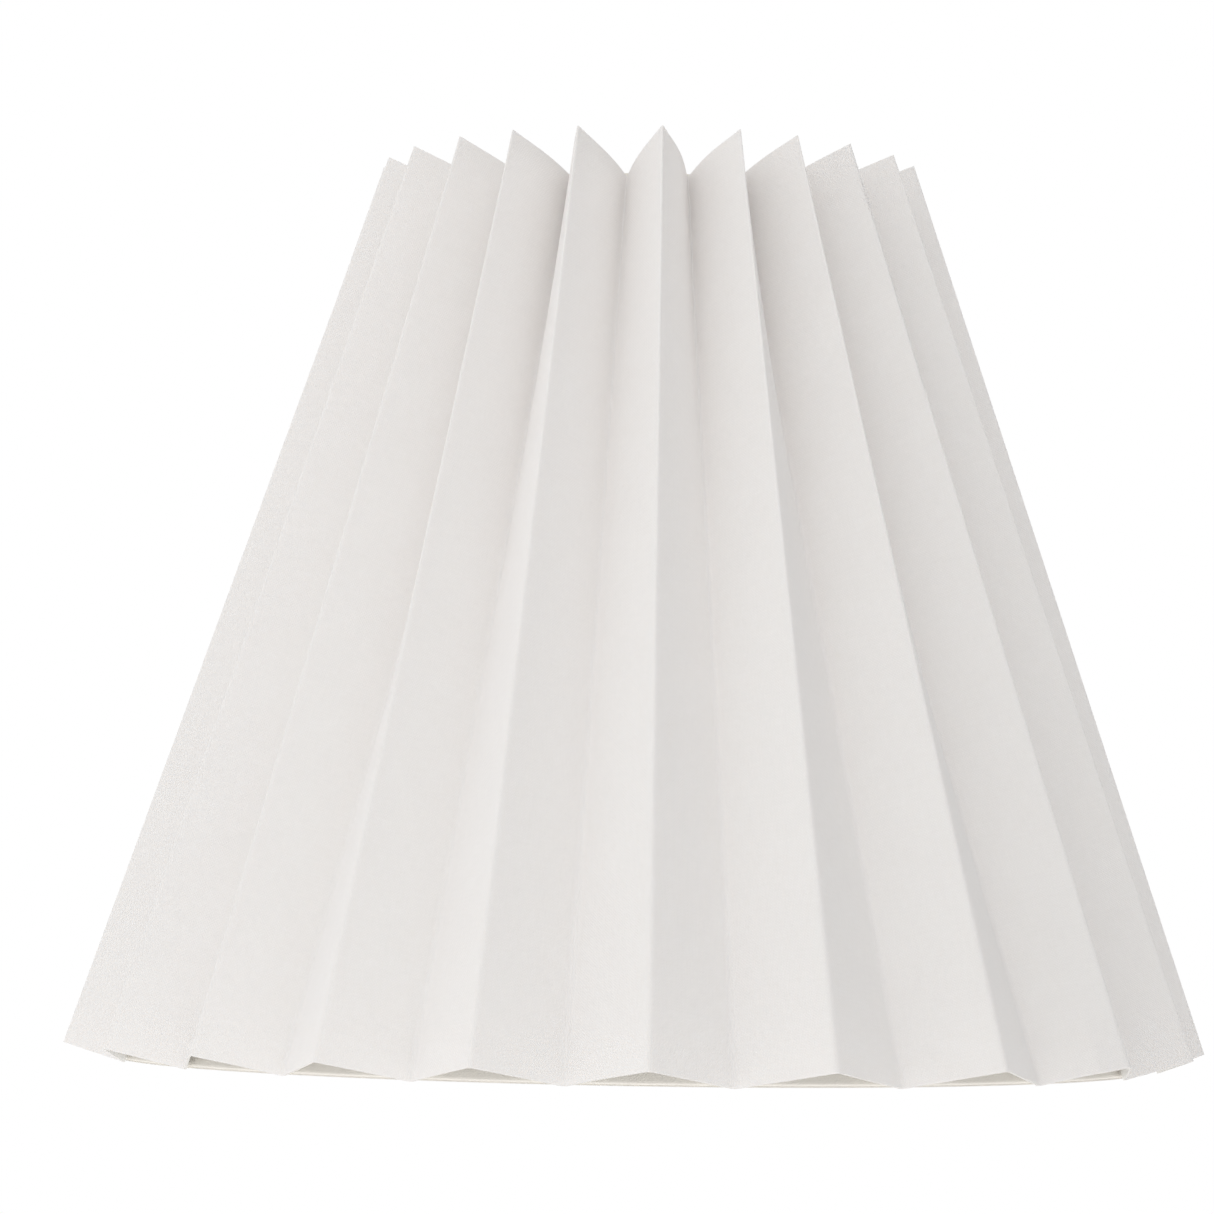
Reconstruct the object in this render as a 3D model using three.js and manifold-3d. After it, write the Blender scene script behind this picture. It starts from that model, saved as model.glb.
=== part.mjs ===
// A pleated empire lamp shade: one strip of stiffened cloth folded into an accordion and
// closed round a smooth conical liner, with a wire ring and a turned-over tape at each end
// and a three-armed spider that seats the shade on a lamp's harp.
//
// Millimetres, +Z up. The origin is on the shade's axis, at the level of its bottom edge.
// Angles round the axis run from -Y towards +X. A pleat's ridge lies at angle 0.

import * as THREE from 'three';
import { mergeVertices } from 'three/addons/utils/BufferGeometryUtils.js';
import Module from 'manifold-3d';

// ---------------------------------------------------------------- driving dimensions

// Pleated cover
const PLEAT_COUNT = 22;
const BOTTOM_RIDGE_RADIUS = 178;
const TOP_RIDGE_RADIUS = 80;
const FOLD_LENGTH = 291.5;        // along a fold, from cut edge to cut edge
const BOTTOM_PLEAT_DEPTH = 14.7;  // ridge to valley, straight in towards the axis
const COVER_WALL = 0.5;
const BOTTOM_PINCH = 0.15;        // how far a panel turns radial before its valley, 0 to 1
const TOP_PINCH = 0.75;

// Liner
const LINER_WALL = 0.5;

// Wire rings
const BOTTOM_RING_WIRE = 3;
const TOP_RING_WIRE = 3;

// Edge tapes
const TAPE_WALL = 0.4;
const TAPE_OUTER_LEG = 9;
const TAPE_TURN = 9;              // edge to the place where the tape meets the liner again
const TAPE_INNER_LEG = 13;
const BOTTOM_TAPE_DROP = 0.3;     // bottom tape below the cover's valley tips
const TOP_TAPE_SETBACK = 0.5;     // top tape below the cover's valley tips

// Spider
const HARP_HOLE_RADIUS = 5.55;
const HUB_RADIUS = 14.5;
const HUB_WALL = 1.8;
const HUB_RIM_HEIGHT = 4.6;
const HUB_DROP = 12;              // top ring's wire to the middle of the hub's rim
const ARM_COUNT = 3;
const ARM_WIRE = 3.2;
const ARM_LEVEL_END = 7;          // level stretch at each end of an arm
const ARM_NOTCH_CLEARANCE = 0.5;

// Glue lines, weld lines and what else lies between touching pieces
const SEAT_GAP = 0.3;

// Facets
const ROUND_SEGMENTS = 3 * PLEAT_COUNT;
const WIRE_SIDES = 8;
const HUB_SEGMENTS = 48;
const PANEL_STEPS = 4;
const COVER_ROWS = 4;
const ARM_STEPS = 16;

// ---------------------------------------------------------------- derived dimensions

const HALF_PITCH = Math.PI / PLEAT_COUNT;
const CREASE_WIDTH = 2 * COVER_WALL;

// The cone through the ridges.
const RIDGE_LEAN = Math.asin((BOTTOM_RIDGE_RADIUS - TOP_RIDGE_RADIUS) / FOLD_LENGTH);

// The strip is cut square to its folds, so a valley tip lies lower than its ridge tip.
const EDGE_DROP = Math.tan(RIDGE_LEAN);

// The folds are parallel in the flat strip, so every panel is as wide at the top as it is at
// the bottom. The top pleats stand on a smaller circle and are deeper for it.
const CHORD_SHARE = 2 * (1 - Math.cos(HALF_PITCH));
const DROP_SHARE = 1 + EDGE_DROP * EDGE_DROP;
const PANEL_WIDTH = Math.sqrt(
  DROP_SHARE * BOTTOM_PLEAT_DEPTH ** 2
  + CHORD_SHARE * BOTTOM_RIDGE_RADIUS * (BOTTOM_RIDGE_RADIUS - BOTTOM_PLEAT_DEPTH),
);
const TOP_PLEAT_DEPTH = pleatDepth(TOP_RIDGE_RADIUS);

const BOTTOM_VALLEY_RADIUS = BOTTOM_RIDGE_RADIUS - BOTTOM_PLEAT_DEPTH;
const TOP_VALLEY_RADIUS = TOP_RIDGE_RADIUS - TOP_PLEAT_DEPTH;
const BOTTOM_VALLEY_Z = BOTTOM_TAPE_DROP;
const BOTTOM_RIDGE_Z = BOTTOM_VALLEY_Z + BOTTOM_PLEAT_DEPTH * EDGE_DROP;
const TOP_RIDGE_Z = BOTTOM_RIDGE_Z + FOLD_LENGTH * Math.cos(RIDGE_LEAN);
const TOP_VALLEY_Z = TOP_RIDGE_Z - TOP_PLEAT_DEPTH * EDGE_DROP;

// The cone through the valleys: radius lost for each millimetre of height.
const VALLEY_TAPER = (BOTTOM_VALLEY_RADIUS - TOP_VALLEY_RADIUS) / (TOP_VALLEY_Z - BOTTOM_VALLEY_Z);
const VALLEY_LEAN = Math.atan(VALLEY_TAPER);

// From the valleys inwards: the cover's wall, the tape's outer leg, then the liner.
const TAPE_INSET = COVER_WALL + SEAT_GAP;
const LINER_INSET = TAPE_INSET + TAPE_WALL + SEAT_GAP;

const BOTTOM_EDGE_Z = 0;
const TOP_EDGE_Z = TOP_VALLEY_Z - TOP_TAPE_SETBACK;
const EDGE_TO_LINER = TAPE_WALL + SEAT_GAP;
const BOTTOM_RING_Z = BOTTOM_EDGE_Z + EDGE_TO_LINER + BOTTOM_RING_WIRE / 2;
const TOP_RING_Z = TOP_EDGE_Z - EDGE_TO_LINER - TOP_RING_WIRE / 2;
const BOTTOM_RING_RADIUS = ringRadius(BOTTOM_RING_Z, BOTTOM_RING_WIRE);
const TOP_RING_RADIUS = ringRadius(TOP_RING_Z, TOP_RING_WIRE);

const ARM_Z = TOP_RING_Z - HUB_DROP;
const HUB_FLOOR_Z = ARM_Z - HUB_RIM_HEIGHT / 2;

// ---------------------------------------------------------------- shared measures

// Depth of a pleat whose ridge stands at this radius, for panels of PANEL_WIDTH: the root of
// DROP_SHARE * depth^2 + CHORD_SHARE * radius * (radius - depth) = PANEL_WIDTH^2.
function pleatDepth(radius) {
  const linear = CHORD_SHARE * radius;
  const rest = linear * radius - PANEL_WIDTH ** 2;
  return (linear + Math.sqrt(linear ** 2 - 4 * DROP_SHARE * rest)) / (2 * DROP_SHARE);
}

function valleyRadius(z) {
  return BOTTOM_VALLEY_RADIUS - VALLEY_TAPER * (z - BOTTOM_VALLEY_Z);
}

function linerInnerRadius(z) {
  return valleyRadius(z) - LINER_INSET - LINER_WALL;
}

// A ring's wire lies against the liner's inner face.
function ringRadius(z, wire) {
  return linerInnerRadius(z) - (wire / 2 + SEAT_GAP) / Math.cos(VALLEY_LEAN);
}

// ---------------------------------------------------------------- geometry helpers

// Each corner of an outline moved to the left of its travel, so that both of its sides move
// by the same distance. An open outline's ends move square to their one side.
function offsetOutline(points, distance, closed) {
  const last = points.length - 1;
  return points.map((point, i) => {
    const before = points[i > 0 ? i - 1 : closed ? last : i];
    const after = points[i < last ? i + 1 : closed ? 0 : i];
    const sides = [];
    if (before !== point) sides.push(point.clone().sub(before).normalize());
    if (after !== point) sides.push(after.clone().sub(point).normalize());
    const normals = sides.map((side) => new THREE.Vector2(-side.y, side.x));
    const sum = normals[0].clone().add(normals[normals.length - 1]);
    const scale = distance / (1 + normals[0].dot(normals[normals.length - 1]));
    return point.clone().addScaledVector(sum, scale);
  });
}

// A strip of even thickness along an open line, as one closed outline.
function stripOutline(line, thickness) {
  const left = offsetOutline(line, thickness / 2, false);
  const right = offsetOutline(line, -thickness / 2, false);
  return left.concat(right.reverse());
}

// A closed outline of (radius, height) points, clockwise from outside, turned about Z.
function turned(outline, segments) {
  const area = THREE.ShapeUtils.area(outline);
  const ordered = area < 0 ? outline.slice().reverse() : outline.slice();
  ordered.push(ordered[0].clone());
  return new THREE.LatheGeometry(ordered, segments).rotateX(Math.PI / 2);
}

function wireRing(radius, wire) {
  return new THREE.TorusGeometry(radius, wire / 2, WIRE_SIDES, ROUND_SEGMENTS).rotateZ(Math.PI / 2);
}

function roundSection(radius, sides) {
  const corners = [];
  for (let i = 0; i < sides; i += 1) {
    const angle = (2 * Math.PI * i) / sides;
    corners.push(new THREE.Vector2(radius * Math.cos(angle), radius * Math.sin(angle)));
  }
  return new THREE.Shape(corners);
}

function piece(name, geometry, colour, roughness, metalness) {
  const material = new THREE.MeshStandardMaterial({ color: colour, roughness, metalness });
  const mesh = new THREE.Mesh(geometry, material);
  mesh.name = name;
  return mesh;
}

// ---------------------------------------------------------------- solid booleans

const wasm = await Module();
wasm.setup();

function toSolid(geometry) {
  const bare = geometry.clone();
  bare.deleteAttribute('normal');
  bare.deleteAttribute('uv');
  const merged = mergeVertices(bare, 1e-4);
  return new wasm.Manifold(new wasm.Mesh({
    numProp: 3,
    vertProperties: new Float32Array(merged.attributes.position.array),
    triVerts: new Uint32Array(merged.index.array),
  }));
}

function toGeometry(solid) {
  const mesh = solid.getMesh();
  const geometry = new THREE.BufferGeometry();
  geometry.setAttribute('position', new THREE.BufferAttribute(mesh.vertProperties, 3));
  geometry.setIndex(new THREE.BufferAttribute(mesh.triVerts, 1));
  return geometry;
}

// ---------------------------------------------------------------- pleated cover

// Half a pleat at one level, from the ridge's crease to the valley's crease, as points in
// the plane: x across the pleat, y out from the axis. The panel is a quadratic curve that
// leaves the ridge straight and, the more it is pinched, runs into its valley radially.
function panelSection(ridge, depth, pinch) {
  const valley = ridge - depth;
  const outwards = new THREE.Vector2(Math.sin(HALF_PITCH), Math.cos(HALF_PITCH));
  const across = new THREE.Vector2(Math.cos(HALF_PITCH), -Math.sin(HALF_PITCH));
  const start = new THREE.Vector2(CREASE_WIDTH / 2, ridge);
  const end = outwards.clone().multiplyScalar(valley).addScaledVector(across, -CREASE_WIDTH / 2);
  const straight = start.clone().lerp(end, 0.6);
  const radial = end.clone().addScaledVector(outwards, 0.4 * depth);
  const control = straight.lerp(radial, pinch);
  return new THREE.QuadraticBezierCurve(start, control, end).getPoints(PANEL_STEPS);
}

// The whole closed zigzag at one level, anticlockwise from above.
function coverOutline(ridge, depth, pinch) {
  const half = panelSection(ridge, depth, pinch);
  const mirrored = half.map((point) => new THREE.Vector2(-point.x, point.y)).reverse();
  const pleat = mirrored.concat(half);
  const outline = [];
  for (let k = 0; k < PLEAT_COUNT; k += 1) {
    const angle = 2 * HALF_PITCH * k;
    for (const point of pleat) {
      const x = point.x * Math.cos(angle) + point.y * Math.sin(angle);
      const y = point.x * Math.sin(angle) - point.y * Math.cos(angle);
      outline.push(new THREE.Vector2(x, y));
    }
  }
  return outline;
}

// One level of the cover: its outer and inner corners, each at the height that the square
// cut gives it.
function coverLevel(t) {
  const ridge = THREE.MathUtils.lerp(BOTTOM_RIDGE_RADIUS, TOP_RIDGE_RADIUS, t);
  const depth = THREE.MathUtils.lerp(BOTTOM_PLEAT_DEPTH, TOP_PLEAT_DEPTH, t);
  const pinch = THREE.MathUtils.lerp(BOTTOM_PINCH, TOP_PINCH, t);
  const ridgeZ = THREE.MathUtils.lerp(BOTTOM_RIDGE_Z, TOP_RIDGE_Z, t);
  const outer = coverOutline(ridge, depth, pinch);
  const inner = offsetOutline(outer, COVER_WALL, true);
  const heights = outer.map((point) => ridgeZ - Math.max(0, ridge - point.length()) * EDGE_DROP);
  return { outer, inner, heights };
}

function pleatedCover() {
  const positions = [];
  const indices = [];
  let count = 0;
  for (let row = 0; row <= COVER_ROWS; row += 1) {
    const level = coverLevel(row / COVER_ROWS);
    count = level.outer.length;
    for (const outline of [level.outer, level.inner]) {
      outline.forEach((point, i) => positions.push(point.x, point.y, level.heights[i]));
    }
  }
  const corner = (row, side, i) => (2 * row + side) * count + (i % count);
  const quad = (a, b, c, d) => indices.push(a, b, c, a, c, d);
  for (let i = 0; i < count; i += 1) {
    for (let row = 0; row < COVER_ROWS; row += 1) {
      quad(corner(row, 0, i), corner(row, 0, i + 1), corner(row + 1, 0, i + 1), corner(row + 1, 0, i));
      quad(corner(row, 1, i + 1), corner(row, 1, i), corner(row + 1, 1, i), corner(row + 1, 1, i + 1));
    }
    const top = COVER_ROWS;
    quad(corner(0, 1, i), corner(0, 1, i + 1), corner(0, 0, i + 1), corner(0, 0, i));
    quad(corner(top, 0, i), corner(top, 0, i + 1), corner(top, 1, i + 1), corner(top, 1, i));
  }
  const geometry = new THREE.BufferGeometry();
  geometry.setAttribute('position', new THREE.Float32BufferAttribute(positions, 3));
  geometry.setIndex(indices);
  return geometry;
}

// ---------------------------------------------------------------- liner and tapes

function liner() {
  const bottom = BOTTOM_EDGE_Z + EDGE_TO_LINER;
  const top = TOP_EDGE_Z - EDGE_TO_LINER;
  const outer = (z) => linerInnerRadius(z) + LINER_WALL;
  const outline = [
    new THREE.Vector2(outer(bottom), bottom),
    new THREE.Vector2(outer(top), top),
    new THREE.Vector2(linerInnerRadius(top), top),
    new THREE.Vector2(linerInnerRadius(bottom), bottom),
  ];
  return turned(outline, ROUND_SEGMENTS);
}

// A tape folded over an edge: down the outside of the liner, round the edge and the ring,
// and back onto the liner's inner face. Direction is 1 from the bottom edge, -1 from the top.
function edgeTape(edge, direction, ring, wire) {
  const z = (fromEdge) => edge + direction * fromEdge;
  const outerLeg = (height) => valleyRadius(height) - TAPE_INSET - TAPE_WALL / 2;
  const onLiner = (height) => linerInnerRadius(height) - SEAT_GAP - TAPE_WALL / 2;
  const roundRing = ring - wire / 2 - SEAT_GAP - TAPE_WALL / 2;
  const line = [
    new THREE.Vector2(outerLeg(z(TAPE_OUTER_LEG)), z(TAPE_OUTER_LEG)),
    new THREE.Vector2(outerLeg(z(TAPE_WALL / 2)), z(TAPE_WALL / 2)),
    new THREE.Vector2(roundRing, z(TAPE_WALL / 2)),
    new THREE.Vector2(roundRing, z(EDGE_TO_LINER + wire)),
    new THREE.Vector2(onLiner(z(TAPE_TURN)), z(TAPE_TURN)),
    new THREE.Vector2(onLiner(z(TAPE_INNER_LEG)), z(TAPE_INNER_LEG)),
  ];
  return turned(stripOutline(line, TAPE_WALL), ROUND_SEGMENTS);
}

// The top tape is slit from its inner hem up to each arm, which passes through to the ring.
function topTape() {
  let solid = toSolid(edgeTape(TOP_EDGE_Z, -1, TOP_RING_RADIUS, TOP_RING_WIRE));
  const width = ARM_WIRE + 2 * ARM_NOTCH_CLEARANCE;
  const top = ARM_WIRE / 2 + ARM_NOTCH_CLEARANCE;
  const height = TAPE_INNER_LEG + top;
  const reach = TOP_RING_RADIUS - HUB_RADIUS;
  for (let i = 0; i < ARM_COUNT; i += 1) {
    const slit = new THREE.BoxGeometry(width, reach, height)
      .translate(0, TOP_RING_RADIUS - reach / 2, TOP_RING_Z + top - height / 2)
      .rotateZ(armAngle(i));
    solid = solid.subtract(toSolid(slit));
  }
  return toGeometry(solid);
}

// ---------------------------------------------------------------- spider

// The first arm points to +Y, the back of the shade.
function armAngle(index) {
  return (2 * Math.PI * index) / ARM_COUNT;
}

function spiderHub() {
  const floor = HUB_FLOOR_Z + HUB_WALL;
  const rimTop = HUB_FLOOR_Z + HUB_RIM_HEIGHT;
  const outline = [
    new THREE.Vector2(HARP_HOLE_RADIUS, HUB_FLOOR_Z),
    new THREE.Vector2(HUB_RADIUS, HUB_FLOOR_Z),
    new THREE.Vector2(HUB_RADIUS, rimTop),
    new THREE.Vector2(HUB_RADIUS - HUB_WALL, rimTop),
    new THREE.Vector2(HUB_RADIUS - HUB_WALL, floor),
    new THREE.Vector2(HARP_HOLE_RADIUS, floor),
  ];
  return turned(outline, HUB_SEGMENTS);
}

// A wire from the ring's inner side to the hub's rim: level, a sloping drop, level again.
function spiderArm(index) {
  const outer = TOP_RING_RADIUS - TOP_RING_WIRE / 2 - SEAT_GAP;
  const inner = HUB_RADIUS + SEAT_GAP;
  const at = (radius, z) => new THREE.Vector3(0, radius, z);
  const bendTop = at(outer - ARM_LEVEL_END, TOP_RING_Z);
  const bendBottom = at(inner + ARM_LEVEL_END, ARM_Z);
  const leaveTop = bendTop.clone().lerp(at(outer, TOP_RING_Z), 0.5);
  const enterDrop = bendTop.clone().lerp(bendBottom, 0.25);
  const leaveDrop = bendTop.clone().lerp(bendBottom, 0.75);
  const enterLevel = bendBottom.clone().lerp(at(inner, ARM_Z), 0.5);
  const path = new THREE.CurvePath();
  path.add(new THREE.LineCurve3(at(outer, TOP_RING_Z), leaveTop));
  path.add(new THREE.QuadraticBezierCurve3(leaveTop, bendTop, enterDrop));
  path.add(new THREE.LineCurve3(enterDrop, leaveDrop));
  path.add(new THREE.QuadraticBezierCurve3(leaveDrop, bendBottom, enterLevel));
  path.add(new THREE.LineCurve3(enterLevel, at(inner, ARM_Z)));
  const section = roundSection(ARM_WIRE / 2, WIRE_SIDES);
  const wire = new THREE.ExtrudeGeometry(section, { steps: ARM_STEPS, extrudePath: path });
  return wire.rotateZ(armAngle(index));
}

// ---------------------------------------------------------------- assembly

const shade = new THREE.Group();
shade.name = 'lamp_shade';
shade.add(piece('pleated_cover', pleatedCover(), 0xe9e7e4, 0.9, 0));
shade.add(piece('liner', liner(), 0xe2ddd3, 0.7, 0));
shade.add(piece('bottom_ring', wireRing(BOTTOM_RING_RADIUS, BOTTOM_RING_WIRE)
  .translate(0, 0, BOTTOM_RING_Z), 0xe8e8e6, 0.4, 0.2));
shade.add(piece('top_ring', wireRing(TOP_RING_RADIUS, TOP_RING_WIRE)
  .translate(0, 0, TOP_RING_Z), 0xe8e8e6, 0.4, 0.2));
shade.add(piece('bottom_tape', edgeTape(BOTTOM_EDGE_Z, 1, BOTTOM_RING_RADIUS, BOTTOM_RING_WIRE),
  0xddd5c8, 0.85, 0));
shade.add(piece('top_tape', topTape(), 0xddd5c8, 0.85, 0));
shade.add(piece('spider_hub', spiderHub(), 0xe8e8e6, 0.4, 0.2));
for (let i = 0; i < ARM_COUNT; i += 1) {
  shade.add(piece(`spider_arm_${i + 1}`, spiderArm(i), 0xe8e8e6, 0.4, 0.2));
}

export default shade;
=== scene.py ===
"""A pleated empire lamp shade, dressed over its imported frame.

The cover is one strip of stiffened white cloth, folded into an accordion and closed with a
lap. Inside it are a smooth liner, two wire rings under turned-over tapes, and a spider.
Lengths are in metres. Angles round the shade run from its front, -Y, towards its right, +X.
"""

import math

import bmesh
import bpy
import numpy as np
from mathutils import Matrix, Vector


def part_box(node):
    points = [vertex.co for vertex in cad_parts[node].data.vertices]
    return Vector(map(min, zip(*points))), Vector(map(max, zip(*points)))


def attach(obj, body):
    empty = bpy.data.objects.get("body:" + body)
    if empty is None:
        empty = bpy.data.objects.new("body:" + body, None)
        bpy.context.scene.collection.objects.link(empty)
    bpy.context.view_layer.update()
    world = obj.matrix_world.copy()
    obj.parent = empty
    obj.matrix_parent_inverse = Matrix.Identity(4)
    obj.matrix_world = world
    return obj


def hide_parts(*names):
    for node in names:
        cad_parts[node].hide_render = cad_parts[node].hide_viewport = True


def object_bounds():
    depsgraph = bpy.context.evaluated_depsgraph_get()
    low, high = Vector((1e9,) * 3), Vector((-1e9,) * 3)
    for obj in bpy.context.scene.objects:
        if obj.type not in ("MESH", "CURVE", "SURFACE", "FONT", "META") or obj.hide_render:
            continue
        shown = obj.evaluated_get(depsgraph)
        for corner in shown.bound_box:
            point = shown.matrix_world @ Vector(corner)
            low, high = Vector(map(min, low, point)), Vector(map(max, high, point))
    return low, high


MM = 0.001
DEG = math.pi / 180

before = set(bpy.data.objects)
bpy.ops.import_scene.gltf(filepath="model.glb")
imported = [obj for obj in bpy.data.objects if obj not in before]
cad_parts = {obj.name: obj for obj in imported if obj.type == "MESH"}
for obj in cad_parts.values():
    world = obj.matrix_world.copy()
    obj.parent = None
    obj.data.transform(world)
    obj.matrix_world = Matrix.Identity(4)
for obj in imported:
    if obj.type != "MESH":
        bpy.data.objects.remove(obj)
cad_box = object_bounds()


# ---------------------------------------------------------------- camera

CAMERA_DISTANCE = 1419.1 * MM
CAMERA_HEIGHT = 62.6 * MM
CAMERA_AROUND = -1.0 * DEG      # where it stands, from the shade's front
CAMERA_AIM = -0.45 * DEG        # how far it looks past the shade's axis
CAMERA_PITCH = 3.19 * DEG
CAMERA_ROLL = 0.66 * DEG
CAMERA_LENS = 134.8
SENSOR = 36.0


def place_camera():
    """The camera looks along a direction of given heading and pitch, then rolls about it."""
    heading = CAMERA_AIM - CAMERA_AROUND
    level = math.cos(CAMERA_PITCH)
    ahead = Vector((math.sin(heading) * level, math.cos(heading) * level, math.sin(CAMERA_PITCH)))
    right = Vector((math.cos(heading), -math.sin(heading), 0))
    up = right.cross(ahead)
    rolled_right = right * math.cos(CAMERA_ROLL) + up * math.sin(CAMERA_ROLL)
    rolled_up = up * math.cos(CAMERA_ROLL) - right * math.sin(CAMERA_ROLL)
    place = Vector((
        CAMERA_DISTANCE * math.sin(CAMERA_AROUND),
        -CAMERA_DISTANCE * math.cos(CAMERA_AROUND),
        CAMERA_HEIGHT,
    ))
    turn = Matrix((rolled_right, rolled_up, -ahead)).transposed()
    lens = bpy.data.cameras.new("camera")
    lens.lens = CAMERA_LENS
    lens.sensor_width = SENSOR
    lens.clip_end = 30
    camera = bpy.data.objects.new("camera", lens)
    camera.matrix_world = Matrix.Translation(place) @ turn.to_4x4()
    bpy.context.scene.collection.objects.link(camera)
    bpy.context.scene.camera = camera


place_camera()


# ---------------------------------------------------------------- sizes from the frame

def cad_points(node):
    """A node's corners as rows of x, y, z."""
    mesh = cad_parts[node].data
    flat = np.zeros(len(mesh.vertices) * 3, np.float32)
    mesh.vertices.foreach_get("co", flat)
    return flat.reshape(-1, 3).astype(float)


def radii(points):
    """Each point's distance from the axis."""
    return np.hypot(points[:, 0], points[:, 1])


TIP_BAND = 0.01 * MM            # points this close to an end count as lying on it
PLEATS = 22
COVER_WALL = 0.5 * MM
HALF_PITCH = math.pi / PLEATS

cover_points = cad_points("pleated_cover")
cover_radii = radii(cover_points)
low_tips = cover_points[:, 2] < cover_points[:, 2].min() + TIP_BAND
high_tips = cover_points[:, 2] > cover_points[:, 2].max() - TIP_BAND
BOTTOM_RIDGE = cover_radii.max()
TOP_RIDGE = cover_radii[high_tips].max()
BOTTOM_VALLEY = cover_radii[low_tips].max()
TOP_VALLEY = cover_radii.min() + COVER_WALL
BOTTOM_VALLEY_Z = cover_points[:, 2].min()
BOTTOM_RIDGE_Z = cover_points[cover_radii.argmax(), 2]
TOP_RIDGE_Z = cover_points[:, 2].max()
TOP_VALLEY_Z = cover_points[cover_radii.argmin(), 2]
FOLD_LENGTH = math.hypot(BOTTOM_RIDGE - TOP_RIDGE, TOP_RIDGE_Z - BOTTOM_RIDGE_Z)


# ---------------------------------------------------------------- how this shade sits

# The bottom ring is bent a little out of round, and everything at that end follows it. Each
# wave is its size, its number of peaks round the shade and the place of one peak.
BOTTOM_WAVES = [(4.35 * MM, 2, 34 * DEG), (2.83 * MM, 3, 31 * DEG)]
TOP_WAVES = [(2.54 * MM, 2, -91 * DEG), (2.46 * MM, 3, -8 * DEG)]
SPREAD_WAVES = [(1.72 * MM, 6, 12 * DEG)]
TOP_FLARE = 1.8 * MM            # the ridges splay out at the top by this much
TOP_LIFT = 0.7 * MM
VALLEY_BRIDGE = 3.6 * MM        # the valleys stand off the top ring by this much more
VALLEY_DIP = 2.4 * MM           # and the valley folds end this much lower there
TWIST = 1.7 * DEG               # the top edge, turned against the bottom edge

rng = np.random.default_rng(22)


def waves(angle, terms):
    """A sum of cosines round the shade."""
    return sum(size * np.cos(peaks * (angle - place)) for size, peaks, place in terms)


def unit(vectors):
    """The same directions, each of length one."""
    return vectors / np.linalg.norm(vectors, axis=-1, keepdims=True)


def eased(share):
    """A share from 0 to 1, starting and ending gently."""
    share = np.clip(share, 0, 1)
    return share * share * (3 - 2 * share)


def turned_from(angle, place):
    """How far angles lie from a place round the shade, the short way."""
    return (angle - place + math.pi) % (2 * math.pi) - math.pi


# ---------------------------------------------------------------- mesh helpers

def grid_quads(rows, columns, close_rows=False, close_columns=False):
    """Quads over a grid whose points are numbered row by row."""
    row = np.arange(rows if close_rows else rows - 1)
    column = np.arange(columns if close_columns else columns - 1)
    row, column = np.meshgrid(row, column, indexing="ij")
    below, above = row * columns, (row + 1) % rows * columns
    right = (column + 1) % columns
    return np.stack([below + column, below + right, above + right, above + column], -1).reshape(-1, 4)


def new_piece(name, points, quads, materials, indices=None, uv=None):
    """A mesh object from arrays of points and quads. uv has one pair for each point."""
    mesh = bpy.data.meshes.new(name)
    mesh.vertices.add(len(points))
    mesh.vertices.foreach_set("co", np.asarray(points, np.float32).ravel())
    mesh.loops.add(quads.size)
    mesh.loops.foreach_set("vertex_index", quads.ravel().astype(np.int32))
    mesh.polygons.add(len(quads))
    mesh.polygons.foreach_set("loop_start", np.arange(len(quads), dtype=np.int32) * 4)
    for material in materials:
        mesh.materials.append(material)
    if indices is not None:
        mesh.polygons.foreach_set("material_index", indices.astype(np.int32))
    mesh.update(calc_edges=True)
    mesh.polygons.foreach_set("use_smooth", np.full(len(quads), True))
    if uv is not None:
        layer = mesh.uv_layers.new(name="cloth")
        layer.data.foreach_set("uv", uv[quads.ravel()].astype(np.float32).ravel())
    piece = bpy.data.objects.new(name, mesh)
    bpy.context.scene.collection.objects.link(piece)
    return piece


def surface_normals(points):
    """Unit normals of a grid of points, from the cross product of its two directions."""
    across = np.gradient(points, axis=1)
    along = np.gradient(points, axis=0)
    normal = np.cross(across, along)
    return normal / np.maximum(np.linalg.norm(normal, axis=2, keepdims=True), 1e-12)


def pushed_in(points, thickness):
    """A grid of points moved in along its normals by the thickness."""
    return points - surface_normals(points) * thickness


def sheet_piece(name, outer, inner, uv, face, back, edge):
    """A closed sheet: an outer and an inner grid of points, and a rim of quads round all
    four sides, with crisp edges. Face, back and edge are materials."""
    rows, columns = outer.shape[:2]
    points = np.concatenate([outer.reshape(-1, 3), inner.reshape(-1, 3)])
    count = rows * columns
    front = grid_quads(rows, columns)
    reverse = front[:, ::-1] + count
    index = np.arange(count).reshape(rows, columns)
    border = np.concatenate([
        index[0, :-1], index[:-1, -1], index[-1, :0:-1], index[:0:-1, 0],
    ])
    after = np.roll(border, -1)
    rim = np.stack([after, border, border + count, after + count], -1)
    quads = np.concatenate([front, reverse, rim])
    kinds = np.repeat([0, 1, 2], [len(front), len(reverse), len(rim)])
    both_uv = np.tile(uv.reshape(-1, 2), (2, 1))
    sheet = new_piece(name, points, quads, [face, back, edge], kinds, both_uv)
    at_border = np.zeros(2 * count, bool)
    at_border[border] = at_border[border + count] = True
    ends = np.zeros(len(sheet.data.edges) * 2, np.int32)
    sheet.data.edges.foreach_get("vertices", ends)
    ends = ends.reshape(-1, 2)
    crisp = at_border[ends].all(1) & ((ends >= count).sum(1) != 1)
    sheet.data.edges.foreach_set("use_edge_sharp", crisp)
    return sheet


def around_axis(radius, angle, z):
    """Points at these radii and heights, at these angles from the front."""
    return np.stack(np.broadcast_arrays(radius * np.sin(angle), -radius * np.cos(angle), z), -1)


def turned_piece(name, profile, segments, materials):
    """A closed outline of (radius, height) rows carried round the axis."""
    angle = np.linspace(0, 2 * math.pi, segments, endpoint=False)[:, None]
    points = around_axis(profile[None, :, 0], angle, profile[None, :, 1])
    quads = grid_quads(segments, len(profile), True, True)
    return new_piece(name, points.reshape(-1, 3), quads, materials)


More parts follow.
